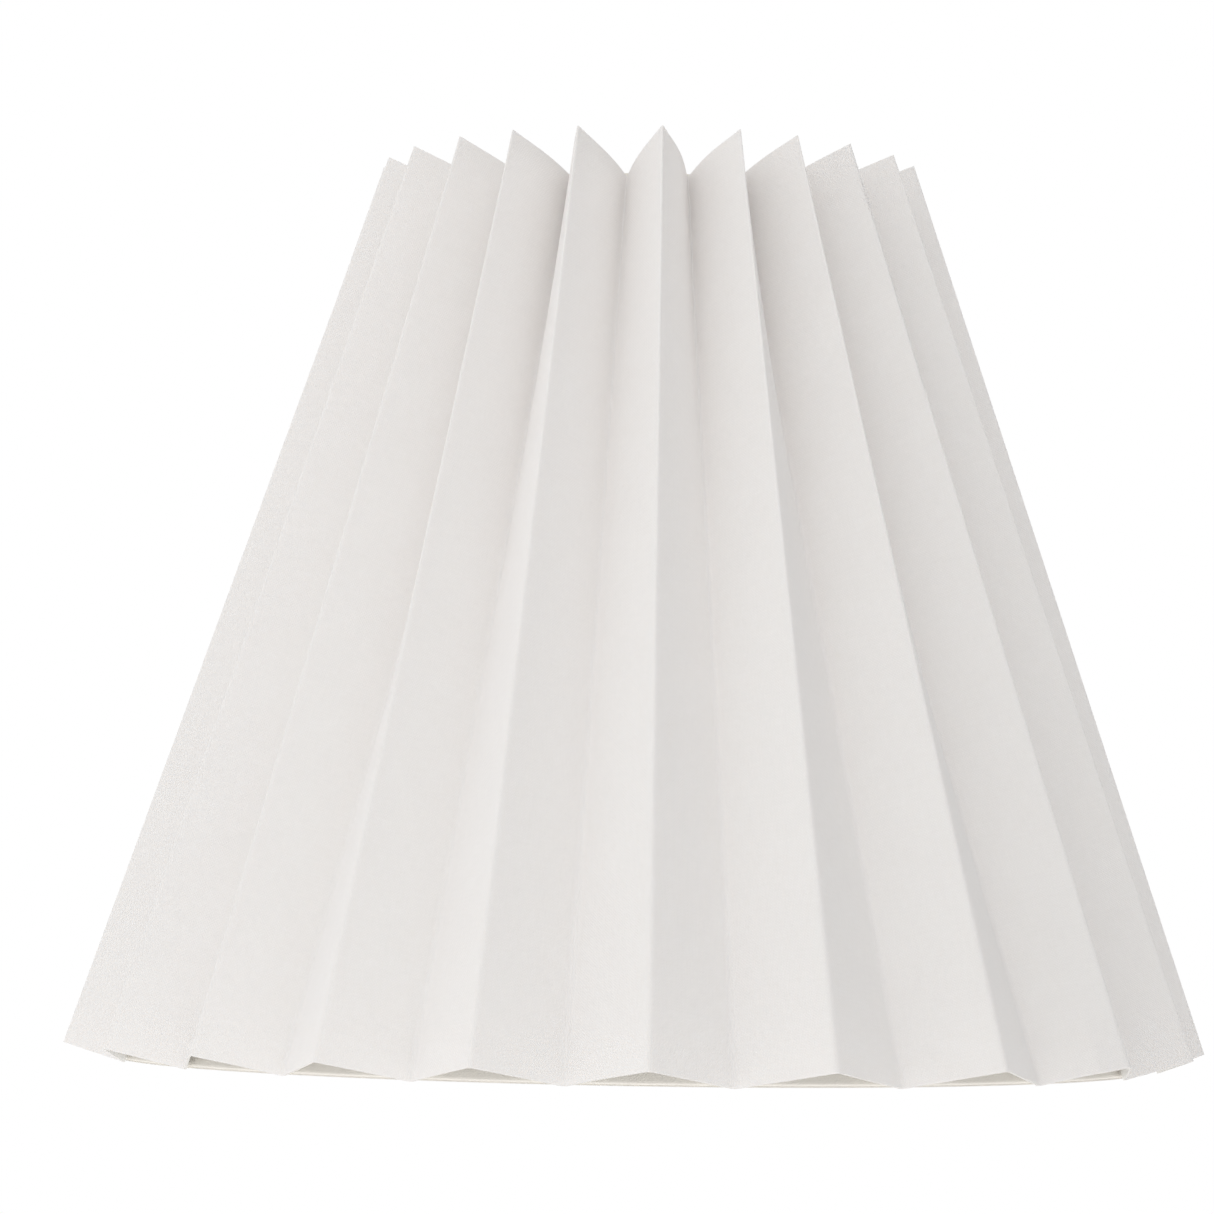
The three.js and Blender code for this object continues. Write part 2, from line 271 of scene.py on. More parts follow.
def tube_piece(name, path, radius, sides, materials, closed=False):
    """A round wire: circles of the given radii set square to a path. A closed path joins its
    last circle to its first; an open one leaves its ends to close_ends."""
    path = np.asarray(path, float)
    if closed:
        tangent = np.roll(path, -1, 0) - np.roll(path, 1, 0)
    else:
        tangent = np.gradient(path, axis=0)
    tangent = unit(tangent)
    side = unit(np.cross(tangent, [0.0, 0.0, 1.0]))
    lift = np.cross(side, tangent)
    turn = np.linspace(0, 2 * math.pi, sides, endpoint=False)[None, :, None]
    girth = np.broadcast_to(radius, len(path))[:, None, None]
    points = path[:, None] + girth * (np.cos(turn) * side[:, None] + np.sin(turn) * lift[:, None])
    quads = grid_quads(len(path), sides, closed, True)[:, ::-1]
    return new_piece(name, points.reshape(-1, 3), quads, materials)


def close_ends(piece):
    """Fills the open ends of a piece's tubes and turns its faces outwards."""
    shape = bmesh.new()
    shape.from_mesh(piece.data)
    bmesh.ops.holes_fill(shape, edges=shape.edges, sides=0)
    bmesh.ops.recalc_face_normals(shape, faces=shape.faces)
    shape.to_mesh(piece.data)
    shape.free()


# ---------------------------------------------------------------- shader helpers

class Value:
    """A number in a material. Python's operators on it add Math nodes."""

    def __init__(self, graph, socket):
        self.graph = graph
        self.socket = socket

    def __add__(self, other):
        return self.graph.math("ADD", self, other)

    def __sub__(self, other):
        return self.graph.math("SUBTRACT", self, other)

    def __rsub__(self, other):
        return self.graph.math("SUBTRACT", other, self)

    def __mul__(self, other):
        return self.graph.math("MULTIPLY", self, other)

    __radd__ = __add__
    __rmul__ = __mul__


class Graph:
    """One material's nodes."""

    def __init__(self, name):
        self.material = bpy.data.materials.new(name)
        self.material.use_nodes = True
        self.tree = self.material.node_tree
        self.shader = self.tree.nodes["Principled BSDF"]

    def node(self, kind, settings=None, inputs=None, output=0):
        """Adds a node: its settings first, then the values or links of its sockets."""
        made = self.tree.nodes.new(kind)
        for key, setting in (settings or {}).items():
            setattr(made, key, setting)
        for key, value in (inputs or {}).items():
            self.set(made.inputs[key], value)
        return Value(self, made.outputs[output])

    def set(self, socket, value):
        if isinstance(value, Value):
            self.tree.links.new(value.socket, socket)
        else:
            socket.default_value = value

    def math(self, operation, *values):
        return self.node("ShaderNodeMath", {"operation": operation}, dict(enumerate(values)))

    def cos(self, value):
        return self.math("COSINE", value)

    def clamp(self, value):
        return self.node("ShaderNodeClamp", {}, {"Value": value})

    def smooth(self, value, low, high):
        """0 below low, 1 above high, and a smooth step between."""
        settings = {"interpolation_type": "SMOOTHSTEP"}
        inputs = {"Value": value, "From Min": low, "From Max": high}
        return self.node("ShaderNodeMapRange", settings, inputs)

    def mix(self, share, first, second):
        """Two colours, blended by a share from 0 to 1."""
        made = self.tree.nodes.new("ShaderNodeMix")
        made.data_type = "RGBA"
        self.set(made.inputs["Factor"], share)
        self.set(made.inputs[6], first)
        self.set(made.inputs[7], second)
        return Value(self, made.outputs[2])

    def noise(self, vector, scale, detail, roughness=0.5):
        inputs = {"Vector": vector, "Scale": scale, "Detail": detail, "Roughness": roughness}
        return self.node("ShaderNodeTexNoise", {}, inputs)

    def stretched(self, vector, x, y):
        """Coordinates scaled differently along x and y."""
        return self.node("ShaderNodeMapping", {}, {"Vector": vector, "Scale": (x, y, 1.0)})

    def finish(self, colour, roughness, height, distance, strength, **constants):
        """Wires up the shader: height is a bump, distance its depth. Constants are sockets
        that hold one value all over."""
        self.set(self.shader.inputs["Base Color"], colour)
        self.set(self.shader.inputs["Roughness"], roughness)
        for key, value in constants.items():
            self.shader.inputs[key.replace("_", " ")].default_value = value
        inputs = {"Height": height, "Distance": distance, "Strength": strength}
        self.set(self.shader.inputs["Normal"], self.node("ShaderNodeBump", {}, inputs))
        return self.material


def tone(red, green, blue):
    """A colour as its sockets take it."""
    return (red, green, blue, 1.0)


# ---------------------------------------------------------------- materials

COVER_THREAD = 0.45 * MM        # spacing of the threads
LINER_THREAD = 0.38 * MM
TAPE_THREAD = 0.5 * MM
TWILL_PITCH = 1.1 * MM
SLUB_ACROSS = 1600.0            # noise scales over and along a thicker thread
SLUB_ALONG = 200.0
# Light spreads through the cover and the liner by about the cover's own thickness.
LETS_LIGHT_THROUGH = {
    "Subsurface_Weight": 0.4,
    "Subsurface_Radius": (1.0, 0.96, 0.92),
    "Subsurface_Scale": 0.5 * MM,
}


def weave(graph, u, v, thread):
    """Height of a plain weave, 0 to 1: ribs along both threads, and a chequer of twice
    their pitch where one thread passes over the other."""
    across = u * (math.pi / thread)
    along = v * (math.pi / thread)
    ribs = graph.cos(across * 2) + graph.cos(along * 2)
    chequer = graph.cos(across) * graph.cos(along)
    return ribs * 0.12 + chequer * 0.26 + 0.5


def cloth_coordinates(graph):
    """The place along and across a sheet, in metres: together, and one by one."""
    uv = graph.node("ShaderNodeUVMap", {"uv_map": "cloth"})
    parts = graph.tree.nodes.new("ShaderNodeSeparateXYZ")
    graph.set(parts.inputs[0], uv)
    return uv, Value(graph, parts.outputs[0]), Value(graph, parts.outputs[1])


def pleated_cloth():
    """White plain-weave cloth: threads, thicker threads here and there, faint mottling."""
    graph = Graph("pleated_cloth")
    uv, u, v = cloth_coordinates(graph)
    threads = weave(graph, u, v, COVER_THREAD)
    slub_along = graph.noise(graph.stretched(uv, SLUB_ACROSS, SLUB_ALONG), 1.0, 2.0)
    slub_across = graph.noise(graph.stretched(uv, SLUB_ALONG, SLUB_ACROSS), 1.0, 2.0)
    slubs = slub_along + slub_across - 1.0
    mottle = graph.noise(uv, 55.0, 4.0)
    shade = graph.clamp(threads * 0.6 + slubs * 0.35 + mottle * 0.25)
    colour = graph.mix(shade, tone(0.88, 0.857, 0.842), tone(0.985, 0.963, 0.95))
    height = threads + slubs * 0.5
    return graph.finish(
        colour, 0.9 - shade * 0.08, height, 0.12 * MM, 0.6,
        Sheen_Weight=0.1, Sheen_Roughness=0.6, Specular_IOR_Level=0.25, **LETS_LIGHT_THROUGH,
    )


def film_back():
    """The stiff film behind the cloth: smooth and a little milky."""
    graph = Graph("film_back")
    place = graph.node("ShaderNodeTexCoord", output=3)
    ripple = graph.noise(place, 180.0, 3.0)
    colour = graph.mix(ripple, tone(0.83, 0.82, 0.79), tone(0.87, 0.86, 0.84))
    return graph.finish(
        colour, 0.42 + ripple * 0.12, ripple, 0.2 * MM, 0.2, Specular_IOR_Level=0.4
    )


def cut_edge():
    """A cut edge of the cover or the liner: pale grey, with a fine grain."""
    graph = Graph("cut_edge")
    place = graph.node("ShaderNodeTexCoord", output=3)
    grain = graph.noise(place, 2500.0, 2.0)
    colour = graph.mix(grain, tone(0.62, 0.6, 0.57), tone(0.82, 0.8, 0.77))
    return graph.finish(colour, 0.8, grain, 0.05 * MM, 0.4)


def liner_film():
    """Off-white cloth-faced film, its weave finer than the cover's."""
    graph = Graph("liner_film")
    uv, u, v = cloth_coordinates(graph)
    threads = weave(graph, u, v, LINER_THREAD)
    mottle = graph.noise(uv, 38.0, 5.0)
    shade = graph.clamp(threads * 0.3 + mottle * 0.7)
    colour = graph.mix(shade, tone(0.79, 0.76, 0.71), tone(0.86, 0.835, 0.79))
    return graph.finish(
        colour, 0.78, threads, 0.05 * MM, 0.35, Specular_IOR_Level=0.3, **LETS_LIGHT_THROUGH
    )


def edge_tape():
    """Beige cotton tape: a close weave with a faint twill, and soft mottling."""
    graph = Graph("edge_tape")
    uv, u, v = cloth_coordinates(graph)
    ribs = weave(graph, u, v, TAPE_THREAD)
    twill = graph.cos((u + v) * (2 * math.pi / TWILL_PITCH)) * 0.5 + 0.5
    mottle = graph.noise(uv, 120.0, 4.0)
    shade = graph.clamp(ribs * 0.3 + twill * 0.25 + mottle * 0.5)
    colour = graph.mix(shade, tone(0.93, 0.89, 0.82), tone(0.985, 0.955, 0.9))
    return graph.finish(colour, 0.88, ribs + twill * 0.4, 0.1 * MM, 0.5, Sheen_Weight=0.1)


def frame_paint():
    """White powder coat on steel: orange peel, and a few patches rubbed a little grey."""
    graph = Graph("frame_paint")
    place = graph.node("ShaderNodeTexCoord", output=3)
    peel = graph.noise(place, 900.0, 2.0)
    wear = graph.smooth(graph.noise(place, 260.0, 5.0, 0.7), 0.66, 0.74)
    colour = graph.mix(wear, tone(0.8, 0.8, 0.78), tone(0.45, 0.44, 0.42))
    return graph.finish(colour, 0.36 + peel * 0.12, peel, 0.06 * MM, 0.35, Specular_IOR_Level=0.5)


CLOTH = pleated_cloth()
FILM = film_back()
EDGE = cut_edge()
LINER = liner_film()
TAPE = edge_tape()
PAINT = frame_paint()


# ---------------------------------------------------------------- pleated cover

LAP_RIDGE = 3                   # the ridge where the strip's two ends meet
LAP_UNDER = 10 * MM             # the hidden end, back from that ridge
LAP_OVER = 1.1 * MM             # the outer end, past that ridge
PANEL_WIDTH = 28.9 * MM
RIDGE_ROUND = 0.05              # rounding each side of a fold, as a share of a panel
VALLEY_ROUND = 0.06
BOTTOM_SWELL = 0.3 * MM         # how far a panel swells outwards
TOP_SWELL = 0.85 * MM
SWELL_POWER = 1.5
SWELL_PEAK = 0.186              # the most that share**SWELL_POWER * (1 - share) comes to
BUCKLE_SIZES = np.array([[0.35], [0.22], [0.1]])    # of one, two and three half waves, in mm
LAP_GAP = 0.05 * MM             # between the lap's two layers
TUCK_END = 0.14                 # the under layer comes back out by here, in panels,
TUCK_STEP = 0.09                # over this much of a panel
CREASE_REACH = 0.3              # how far from a ridge its two inner sides are kept apart
CREASE_SLOPE = 0.1
COVER_ROWS = 49
PANEL_COLUMNS = 15
FRAY_PLACE = 0.945              # the rubbed spot, as a share of the fold
FRAY_RADIUS = 0.11 * MM


def fold_points(fold, t):
    """A point on fold number `fold` (even ridge, odd valley) at share t of its length. Each
    fold is a straight line from its bottom tip to its top tip."""
    ridge = fold % 2 == 0
    angle = fold * HALF_PITCH
    low_radius = np.where(ridge, BOTTOM_RIDGE, BOTTOM_VALLEY) + waves(angle, BOTTOM_WAVES)
    high_ridge = TOP_RIDGE + TOP_FLARE + waves(angle, TOP_WAVES)
    high_radius = np.where(ridge, high_ridge, TOP_VALLEY + VALLEY_BRIDGE)
    high_angle = angle + TWIST + waves(angle, SPREAD_WAVES) / TOP_RIDGE
    low_z = np.where(ridge, BOTTOM_RIDGE_Z, BOTTOM_VALLEY_Z)
    high_z = np.where(ridge, TOP_RIDGE_Z + TOP_LIFT, TOP_VALLEY_Z - VALLEY_DIP)
    low = around_axis(low_radius, angle, low_z)
    high = around_axis(high_radius, high_angle, high_z)
    return low + (high - low) * t[..., None]


def panel_points(panel, s, t):
    """A point on panel number `panel`, at share s of the way from its first fold: along the
    straight chord between its folds, plus a swell square to it. The swell is the share from
    the ridge to SWELL_POWER, times the share left, so it is flat by the ridge and steepest
    by the valley."""
    first = fold_points(panel, t)
    chord = fold_points(panel + 1, t) - first
    run = fold_points(panel, np.ones_like(t)) - fold_points(panel, np.zeros_like(t))
    outwards = unit(np.cross(chord, run))
    share = np.where(panel % 2 == 0, s, 1 - s)
    swell = BOTTOM_SWELL + (TOP_SWELL - BOTTOM_SWELL) * t
    swell = swell * share**SWELL_POWER * (1 - share) / SWELL_PEAK
    return first + chord * np.asarray(s)[..., None] + outwards * swell[..., None]


def strip_points(w, t):
    """A point of the strip: w counts panels along it and t runs up a fold. At each fold a
    short quadratic curve rounds the corner between two panels."""
    fold = np.round(w).astype(int)
    reach = np.where(fold % 2 == 0, RIDGE_ROUND, VALLEY_ROUND)
    off = w - fold
    at_fold = np.abs(off) < reach
    panel = np.floor(w).astype(int)
    flat = panel_points(panel, w - panel, t)
    before = panel_points(fold - 1, 1 - reach, t)
    after = panel_points(fold, reach, t)
    corner = fold_points(fold, t)
    q = np.clip((off + reach) / (2 * reach), 0, 1)[..., None]
    rounded = (1 - q) ** 2 * before + 2 * q * (1 - q) * corner + q**2 * after
    return np.where(at_fold[..., None], rounded, flat)


def strip_columns():
    """Where the columns of the strip's grid lie, in panels from the lap ridge: close
    together round each fold, even between."""
    start = 2 * LAP_RIDGE
    panels = 2 * PLEATS
    inside = np.linspace(0, 1, PANEL_COLUMNS + 1)[1:-1]
    first = start - LAP_UNDER / PANEL_WIDTH
    last = start + panels + LAP_OVER / PANEL_WIDTH
    columns = [first, last]
    for panel in range(-1, panels + 1):
        columns.extend(start + panel + inside)
        round_fold = RIDGE_ROUND if panel % 2 == 0 else VALLEY_ROUND
        columns.extend(start + panel + round_fold * np.array([-1.0, -0.5, 0.0, 0.5, 1.0]))
    columns = np.unique(np.round(columns, 6))
    return columns[(columns >= first) & (columns <= last)]


def buckle(w, t):
    """Small swells in each panel, outwards: a few sine waves up the fold, nothing at the
    folds. Each panel has its own seeded phases."""
    panel = (np.floor(w).astype(int)) % (2 * PLEATS)
    s = w - np.floor(w)
    each = (len(BUCKLE_SIZES), 2 * PLEATS)
    phases = rng.uniform(0, 2 * math.pi, each)
    sizes = rng.normal(0, 1, each) * BUCKLE_SIZES * MM
    swell = sum(
        sizes[n][panel] * np.sin((n + 1) * math.pi * t + phases[n][panel])
        for n in range(len(BUCKLE_SIZES))
    )
    return swell * np.sin(math.pi * s) ** 2


def clear_of_creases(inner, w, t):
    """The strip's inner face with both sides of a sharp ridge kept apart: a point that has
    crossed the ridge's middle plane slides back along its own panel, until its distance
    from that plane is CREASE_SLOPE of its distance from the ridge."""
    ridge = 2 * np.round(w / 2).astype(int)
    off = w - ridge
    side = np.where(off < 0, -1.0, 1.0)
    here = fold_points(ridge, t)
    left = unit(fold_points(ridge - 1, t) - here)
    right = unit(fold_points(ridge + 1, t) - here)
    across = unit(right - left)
    down = np.where((off < 0)[..., None], left, right)
    from_middle = side * np.sum((inner - here) * across, -1)
    short = np.maximum(CREASE_SLOPE * np.abs(off) * PANEL_WIDTH - from_middle, 0)
    slide = short / (side * np.sum(down * across, -1))
    slide = np.where((off != 0) & (np.abs(off) < CREASE_REACH), slide, 0)
    return inner + down * slide[..., None]


def pleated_cover():
    """The whole strip: its columns run round the shade and end in a lap, where the first
    end lies under the last one by a little more than the cloth's thickness."""
    columns = strip_columns()
    rows = np.linspace(0, 1, COVER_ROWS)
    w, t = np.meshgrid(columns, rows)
    points = strip_points(w, t)
    normal = surface_normals(points)
    start = 2 * LAP_RIDGE
    tucked = eased((start + TUCK_END - w) / TUCK_STEP)
    move = buckle(w, t) - tucked * (COVER_WALL + LAP_GAP)
    points = points + normal * move[..., None]
    uv = np.stack([w * PANEL_WIDTH, t * FOLD_LENGTH], -1)
    inner = clear_of_creases(pushed_in(points, COVER_WALL), w, t)
    cover = sheet_piece("pleated_cloth_cover", points, inner, uv, CLOTH, FILM, EDGE)
    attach(cover, "root")
    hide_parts("pleated_cover")


pleated_cover()


def frayed_threads():
    """Loose threads where the strip's outer end has rubbed, near the top of the lap ridge:
    each is a thin tube along an arc, off the ridge and back, with its own seeded size."""
    count, steps, sides = 26, 7, 5
    along = np.linspace(0, 1, steps)
    turn = np.linspace(0, 2 * math.pi, sides, endpoint=False)
    ridge = 2.0 * (LAP_RIDGE + PLEATS)
    start_t = rng.normal(FRAY_PLACE, 0.012, count)
    reach = rng.uniform(0.6, 2.2, count) * MM
    lift = rng.uniform(0.15, 0.55, count) * MM
    lean = rng.normal(0, 0.7, count)
    off_ridge = rng.normal(-0.02, 0.03, count)
    base = strip_points(ridge + off_ridge, start_t)
    outwards = unit(base * [1.0, 1.0, 0.0])
    around = np.stack([-outwards[:, 1], outwards[:, 0], np.zeros(count)], -1)
    fold = np.full(count, int(ridge))
    up = unit(fold_points(fold, np.ones(count)) - fold_points(fold, np.zeros(count)))
    run = np.cos(lean)[:, None] * around + np.sin(lean)[:, None] * up
    path = (
        base[:, None]
        + (reach[:, None, None] * (along[None, :, None] - 0.4)) * run[:, None]
        + (lift[:, None, None] * np.sin(math.pi * along)[None, :, None]) * outwards[:, None]
    )
    side = np.cross(run, outwards)
    girth = FRAY_RADIUS * (1 - 0.7 * along**2)[None, :, None, None]
    turn = turn[None, None, :, None]
    ring = np.cos(turn) * side[:, None, None] + np.sin(turn) * outwards[:, None, None]
    body = path[:, :, None] + girth * ring
    quads = grid_quads(steps, sides, False, True)
    all_quads = (quads[None] + (np.arange(count) * steps * sides)[:, None, None]).reshape(-1, 4)
    threads = new_piece("frayed_threads", body.reshape(-1, 3), all_quads, [CLOTH])
    close_ends(threads)
    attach(threads, "root")


frayed_threads()


# ---------------------------------------------------------------- liner

FILM_WALL = 0.34 * MM
LINER_LAP = 9 * MM
LINER_LAP_PLACE = 158 * DEG
LINER_LEAN = 7 * DEG            # how far the lap's top has swung round against its bottom
LINER_COLUMNS = 361
LINER_ROWS = 49
LINER_STEP = 0.03               # the turn, in radians, over which the lap steps in
LINER_LAP_GAP = 0.03 * MM
RIPPLE = 0.12 * MM

liner_points = cad_points("liner")
liner_radii = radii(liner_points)
LINER_LOW = liner_points[:, 2].min()
LINER_HIGH = liner_points[:, 2].max()
LINER_LOW_RADIUS = liner_radii.max()
LINER_HIGH_RADIUS = liner_radii[liner_points[:, 2] > LINER_HIGH - TIP_BAND].max()
LINER_WALL = LINER_LOW_RADIUS - liner_radii[liner_points[:, 2] < LINER_LOW + TIP_BAND].min()
LINER_TAPER = (LINER_LOW_RADIUS - LINER_HIGH_RADIUS) / (LINER_HIGH - LINER_LOW)


def body_shift(angle, z):
    """How far the cone stands out from a true one: all of the bottom ring's waves at the
    bottom, none at the top."""
    return waves(angle, BOTTOM_WAVES) * (1 - np.clip(z / LINER_HIGH, 0, 1))


def cone_radius(z):
    """The liner's outer radius at a height, as if it were a true cone."""
    return LINER_LOW_RADIUS - LINER_TAPER * (z - LINER_LOW)


def liner():
    """A strip of a cone, 0 to 1 round it and up it. Its second end passes its first and
    steps in by the film's thickness, so that the two overlap."""
    share, t = np.meshgrid(np.linspace(0, 1, LINER_COLUMNS), np.linspace(0, 1, LINER_ROWS))
    z = LINER_LOW + (LINER_HIGH - LINER_LOW) * t
    full = 2 * math.pi + LINER_LAP / cone_radius(z)
    angle = LINER_LAP_PLACE + LINER_LEAN * t + full * share
    past = eased((share * full - (2 * math.pi - LINER_STEP)) / LINER_STEP)
    step = past * (FILM_WALL + LINER_LAP_GAP)
    ripple = RIPPLE * np.sin(9 * angle + 5 * t) * np.sin(math.pi * t)
    radius = cone_radius(z) + body_shift(angle, z) - step - ripple**2 / RIPPLE
    points = around_axis(radius, angle, z)
    slant = math.hypot(LINER_HIGH - LINER_LOW, LINER_LOW_RADIUS - LINER_HIGH_RADIUS)
    uv = np.stack([angle * (LINER_LOW_RADIUS + LINER_HIGH_RADIUS) / 2, t * slant], -1)
    shell = sheet_piece("liner_cone", points, pushed_in(points, FILM_WALL), uv, LINER, LINER, EDGE)
    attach(shell, "root")
    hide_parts("liner")


liner()


# ---------------------------------------------------------------- wire rings

RING_SEGMENTS = 264
HEM_RISE = 1.0 * MM             # the bottom ring and its tape ride up this much in the cover
WIRE_SIDES = 20
WELD_LENGTH = 1.6 * MM
WELD_BULGE = 0.14               # how much thicker the wire is there
WELD_REACH = 3                  # closer circles reach this many lengths to each side
WELD_CIRCLES = 25
BOTTOM_WELD = 3.5               # where each weld lies, in radians from the front
TOP_WELD = 4.2


def ring_sizes(node):
    """Wire thickness, radius and height of a ring."""
    points = cad_points(node)
    wire = np.ptp(points[:, 2])
    return wire, radii(points).max() - wire / 2, (points[:, 2].max() + points[:, 2].min()) / 2


BOTTOM_WIRE, BOTTOM_RING, BOTTOM_RING_Z = ring_sizes("bottom_ring")
BOTTOM_RING_Z += HEM_RISE
TOP_WIRE, TOP_RING, TOP_RING_Z = ring_sizes("top_ring")


def wire_ring(name, node, wire, radius, z, weld_place):
    """Round wire along a circle, with the bottom ring's waves if it is low, and a slight
    bulge where its two ends are butt-welded."""
    angle = np.linspace(0, 2 * math.pi, RING_SEGMENTS, endpoint=False)
    close = np.linspace(-1, 1, WELD_CIRCLES) * WELD_REACH * WELD_LENGTH / radius + weld_place
    angle = np.unique(np.round(np.concatenate([angle, close % (2 * math.pi)]), 9))
    path = around_axis(radius + body_shift(angle, np.full_like(angle, z)), angle, z)
    off = turned_from(angle, weld_place)
    girth = wire / 2 * (1 + WELD_BULGE * np.exp(-((off * radius / WELD_LENGTH) ** 2)))
    ring = tube_piece(name, path, girth, WIRE_SIDES, [PAINT], closed=True)
    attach(ring, "root")
    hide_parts(node)


wire_ring("bottom_ring_wire", "bottom_ring", BOTTOM_WIRE, BOTTOM_RING, BOTTOM_RING_Z, BOTTOM_WELD)
wire_ring("top_ring_wire", "top_ring", TOP_WIRE, TOP_RING, TOP_RING_Z, TOP_WELD)


# ---------------------------------------------------------------- tapes

TAPE_WALL = 0.3 * MM
TAPE_PLY = 0.4 * MM             # the room that each ply has
TAPE_LAP = 7 * MM
SEAT_GAP = 0.3 * MM
OUTER_LEG = 9 * MM
TURN_LEG = 9 * MM               # from the edge to where the tape meets the liner's inside
SLIT_WIDTH = 4.2 * MM
SLIT_SIDE = 0.0008              # the turn, in radians, over which a slit's side falls
TAPE_STEP = 0.02                # and over which the lap steps out
TAPE_LAP_GAP = 0.02 * MM
TAPE_FRAY = 0.12 * MM
TAPE_COLUMNS = 301
TAPE_ROWS = 60
BOTTOM_TAPE_LAP = 2.9           # where each tape starts, in radians from the front
TOP_TAPE_LAP = 3.6


def rounded_line(corners, reach, steps=6):
    """A line through corners, each one but the ends rounded by a quadratic curve that
    starts and ends at the given distance from it."""
    corners = np.asarray(corners, float)
    q = np.linspace(0, 1, steps)[:, None]
    line = [corners[:1]]
    for before, corner, after, round_ in zip(corners, corners[1:], corners[2:], reach):
        start = corner + (before - corner) * round_ / np.linalg.norm(before - corner)
        end = corner + (after - corner) * round_ / np.linalg.norm(after - corner)
        line.append((1 - q) ** 2 * start + 2 * q * (1 - q) * corner + q**2 * end)
    line.append(corners[-1:])
    return np.concatenate(line)


def travelled(line):
    """How far along a line each of its points lies."""
    return np.concatenate([[0], np.cumsum(np.linalg.norm(np.diff(line, axis=0), axis=1))])


def points_along(line, travel):
    """The points that lie so far along a line of (radius, height) rows."""
    length = travelled(line)
    return np.stack([np.interp(travel, length, line[:, n]) for n in (0, 1)], -1)


def tape(name, node, edge, inwards, ring, ring_z, wire, lap_place, slits=()):
    """A tape turned over an edge: its section is a line down the liner's outside, round the
    edge and the ring, and back onto the liner. The section is carried round the axis, and
    the last few millimetres lie over the first. inwards is 1 at the bottom edge, -1 at the
    top. Slits end the section early where an arm passes."""
    points = cad_points(node)
    inner_end = edge + inwards * np.ptp(points[:, 2])
    outer_end = edge + inwards * OUTER_LEG
    outside = SEAT_GAP + TAPE_PLY
    inside = LINER_WALL + SEAT_GAP + TAPE_PLY
    round_ring = ring - wire / 2 - SEAT_GAP - TAPE_PLY
    turn_z = edge + inwards * TURN_LEG
    below_ring = ring_z + inwards * wire * 0.75
    section = rounded_line([
        (cone_radius(outer_end) + outside, outer_end),
        (cone_radius(edge) + outside, edge),
        (round_ring, edge),
        (round_ring, below_ring),
        (cone_radius(turn_z) - inside, turn_z),
        (cone_radius(inner_end) - inside, inner_end),
    ], [0.9 * MM, 1.3 * MM, 1.0 * MM, 1.2 * MM])
    length = travelled(section)
    full = length[-1]
    turn = 2 * math.pi + TAPE_LAP / ring
    cuts = [
        (place + side * SLIT_WIDTH / 2 / ring + nudge - lap_place) % (2 * math.pi)
        for place in slits for side in (-1, 1) for nudge in (-SLIT_SIDE, SLIT_SIDE)
    ]
    columns = np.unique(np.concatenate([np.linspace(0, turn, TAPE_COLUMNS), cuts]))
    angle = lap_place + columns
    end = np.full_like(columns, full)
    from_ring = np.abs(section[:, 0] - (ring - 0.7 * MM)) + 10 * np.abs(section[:, 1] - edge)
    to_ring = length[np.argmin(from_ring)]
    for place in slits:
        off = turned_from(angle, place)
        end = np.where(np.abs(off) < SLIT_WIDTH / 2 / ring, to_ring, end)
    rows = np.linspace(0, 1, TAPE_ROWS)
    travel = rows[:, None] * end[None]
    line = points_along(section, travel)
    angle = np.broadcast_to(angle, travel.shape)
    frayed = TAPE_FRAY * np.sin(angle * 61) * np.sin(angle * 23 + 1)
    past = eased((columns - (2 * math.pi - TAPE_STEP)) / TAPE_STEP) * np.ones_like(travel)
    step = past * (TAPE_WALL + TAPE_LAP_GAP)
    radius = line[..., 0] + body_shift(angle, line[..., 1])
    z = line[..., 1] + frayed * (rows[:, None] == 1) * inwards
    outer = around_axis(radius, angle, z)
    uv = np.stack([angle * ring, travel], -1)
    if inwards > 0:
        outer, step, uv = outer[::-1], step[::-1], uv[::-1]
    outer = outer + surface_normals(outer) * step[..., None]
    strip = sheet_piece(name, outer, pushed_in(outer, TAPE_WALL), uv, TAPE, TAPE, TAPE)
    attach(strip, "root")
    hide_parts(node)
    turn * ring


ARM_PLACES = [math.pi, math.pi + 2 * math.pi / 3, math.pi / 3]
BOTTOM_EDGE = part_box("bottom_tape")[0][2] + HEM_RISE
TOP_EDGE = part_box("top_tape")[1][2]
tape(
    "bottom_hem_tape", "bottom_tape", BOTTOM_EDGE, 1,
    BOTTOM_RING, BOTTOM_RING_Z, BOTTOM_WIRE, BOTTOM_TAPE_LAP,
)
tape(
    "top_hem_tape", "top_tape", TOP_EDGE, -1,
    TOP_RING, TOP_RING_Z, TOP_WIRE, TOP_TAPE_LAP, ARM_PLACES,
)


# ---------------------------------------------------------------- spider

hub_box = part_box("spider_hub")
HUB_FLOOR_Z = hub_box[0][2]
HUB_RIM_Z = hub_box[1][2]
HUB_RADIUS = hub_box[1][0]
HUB_HOLE = radii(cad_points("spider_hub")).min()
HUB_WALL = 1.8 * MM
ARM_WIRE = 3.2 * MM
ARM_LEVEL_END = 7 * MM
ARM_BEND = 3.5 * MM
ARM_END = 5 * MM                # closer circles over this much at each end
ARM_TIP = 1.2 * MM              # the wire narrows to its ends over this much
BEAD_BULGE = 0.42               # the weld bead: its extra thickness, place and spread
BEAD_PLACE = 1.5 * MM
BEAD_SPREAD = 1.1 * MM
HUB_SEGMENTS = 128


